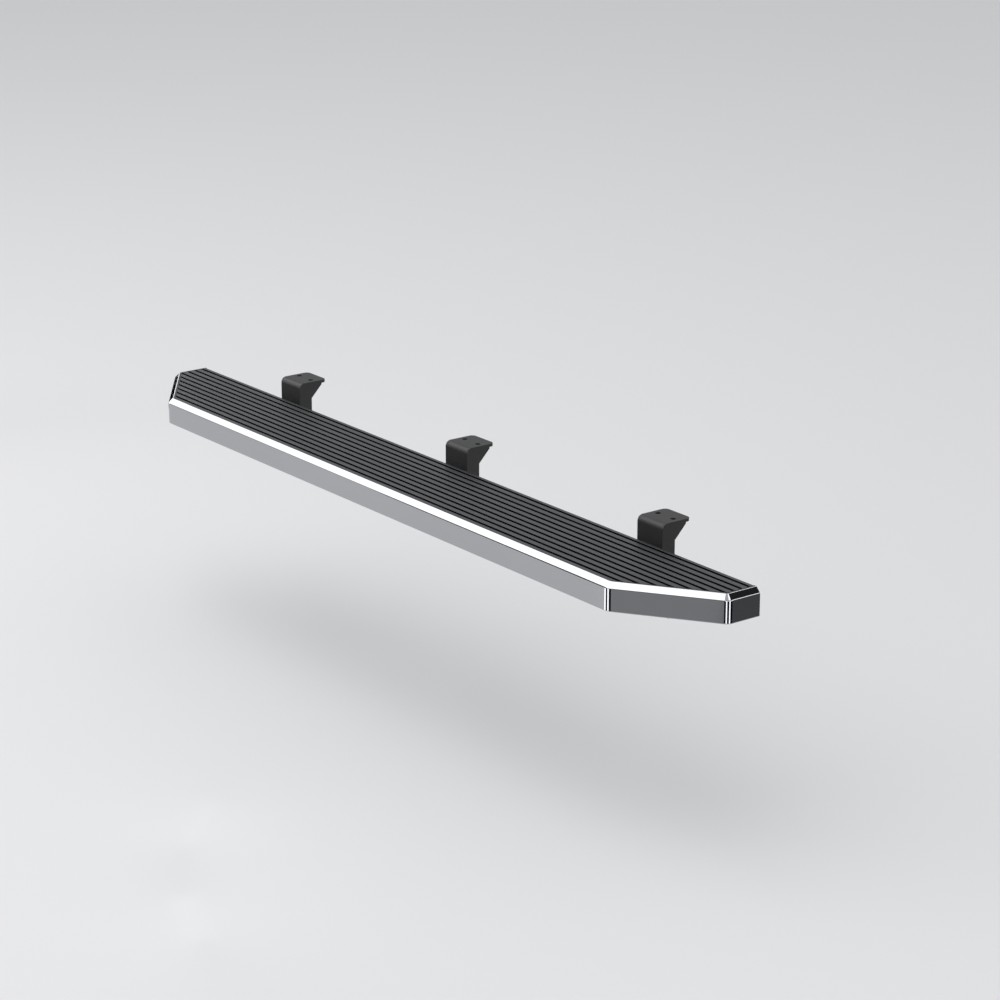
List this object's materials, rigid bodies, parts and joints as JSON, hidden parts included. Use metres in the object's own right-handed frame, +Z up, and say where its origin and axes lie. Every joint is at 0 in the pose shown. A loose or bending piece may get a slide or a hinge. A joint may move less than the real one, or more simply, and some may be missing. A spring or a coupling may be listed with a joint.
{
  "type": "running board",
  "caption": "Vehicle running board with clipped outer corners, a ribbed black tread, a bevelled polished trim band, and adjustable brackets underneath.",
  "frame": {"origin": "middle of the centre bracket's two bolt holes, on its vehicle-side face", "axes": "+X to the front of the vehicle along the board, -Y away from the vehicle, +Z up"},
  "size_m": [1.542, 0.2385, 0.0988],
  "materials": {
    "tread_black": "satin black powder coat on aluminium",
    "polished_stainless": "polished stainless steel",
    "black_plastic": "fine-grained black moulding",
    "bracket_black": "black powder coat on steel",
    "zinc_steel": "bright zinc plate"
  },
  "bodies": {
    "bracket_centre_body": {"bracket_centre": "bracket_black"},
    "hardware_centre": {"channel_bolts_centre": "zinc_steel", "flat_washers_centre": "zinc_steel", "spring_washers_centre": "zinc_steel", "nuts_centre": "zinc_steel"},
    "board": {"tread_board": "tread_black", "trim_frame": "polished_stainless", "end_cap_front": "black_plastic", "end_cap_rear": "black_plastic", "end_cap_screws": "zinc_steel", "trim_screws": "zinc_steel"},
    "hardware_front": {"channel_bolts_front": "zinc_steel", "flat_washers_front": "zinc_steel", "spring_washers_front": "zinc_steel", "nuts_front": "zinc_steel"},
    "bracket_front_body": {"bracket_front": "bracket_black"},
    "hardware_rear": {"channel_bolts_rear": "zinc_steel", "flat_washers_rear": "zinc_steel", "spring_washers_rear": "zinc_steel", "nuts_rear": "zinc_steel"},
    "bracket_rear_body": {"bracket_rear": "bracket_black"}
  },
  "joints": [
    {"name": "centre_slot_adjust", "type": "slide", "parent": "bracket_centre_body", "child": "hardware_centre", "axis": [0, 1, 0], "range_m": [-0.01, 0.01]},
    {"name": "board_channel_slide", "type": "slide", "parent": "hardware_centre", "child": "board", "axis": [1, 0, 0], "range_m": [-0.2, 0.2]},
    {"name": "front_channel_slide", "type": "slide", "parent": "board", "child": "hardware_front", "axis": [1, 0, 0], "range_m": [-0.22, 0.08]},
    {"name": "front_slot_adjust", "type": "slide", "parent": "hardware_front", "child": "bracket_front_body", "axis": [0, 1, 0], "range_m": [-0.01, 0.01]},
    {"name": "rear_channel_slide", "type": "slide", "parent": "board", "child": "hardware_rear", "axis": [1, 0, 0], "range_m": [-0.08, 0.22]},
    {"name": "rear_slot_adjust", "type": "slide", "parent": "hardware_rear", "child": "bracket_rear_body", "axis": [0, 1, 0], "range_m": [-0.01, 0.01]}
  ]
}
